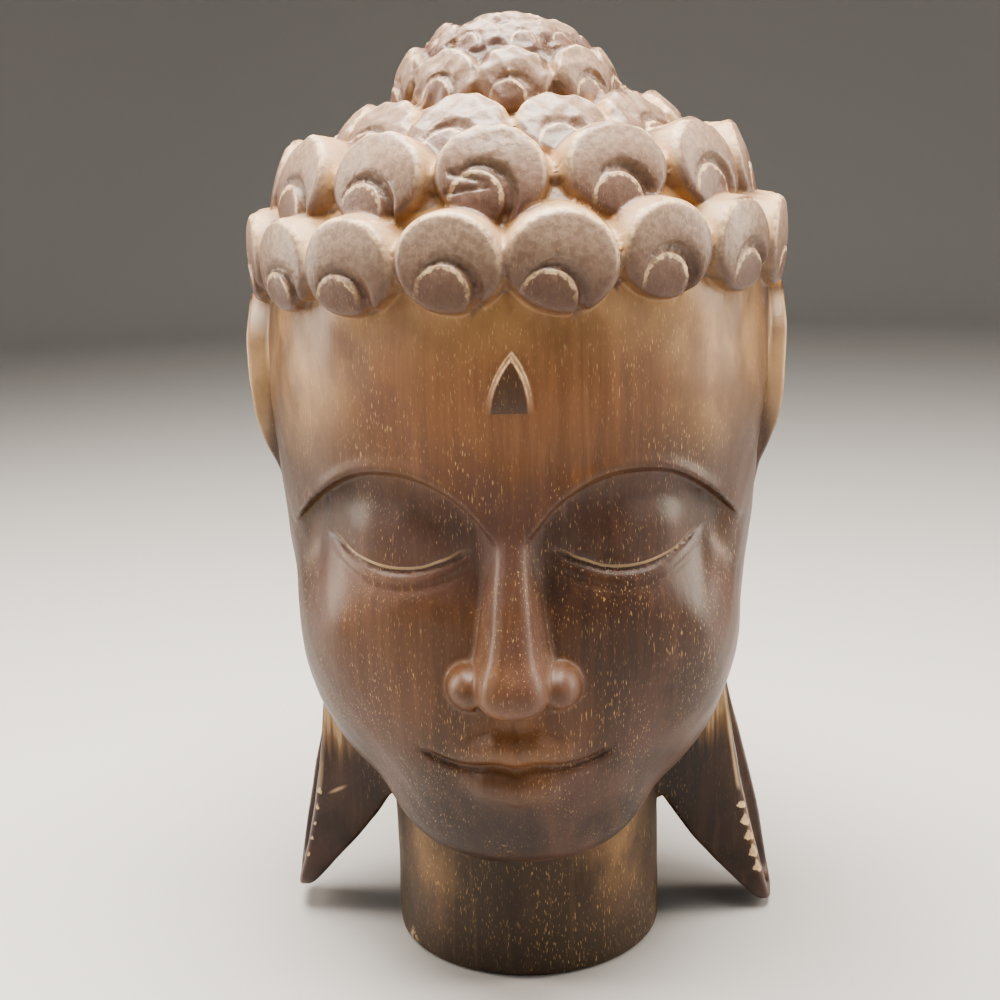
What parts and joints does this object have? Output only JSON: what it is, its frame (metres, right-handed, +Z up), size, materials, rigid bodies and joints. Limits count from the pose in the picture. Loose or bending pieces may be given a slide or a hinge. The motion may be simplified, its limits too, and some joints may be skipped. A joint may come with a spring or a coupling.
{
  "type": "buddha head sculpture",
  "caption": "Carved wooden head with closed eyes, rows of snail curls, a topknot and long flaring ear lobes, standing on its own round neck.",
  "frame": {"origin": "middle of the neck's flat foot, on the surface it stands on", "axes": "+Z up along the neck, the face looks along -Y, +X is on the right of someone facing it"},
  "size_m": [0.1729, 0.1851, 0.3012],
  "materials": {
    "stained_wood": "dark brown stain under a satin varnish, rubbed lighter on the high edges"
  },
  "bodies": {
    "root": {"buddha_head": "stained_wood"}
  },
  "joints": []
}
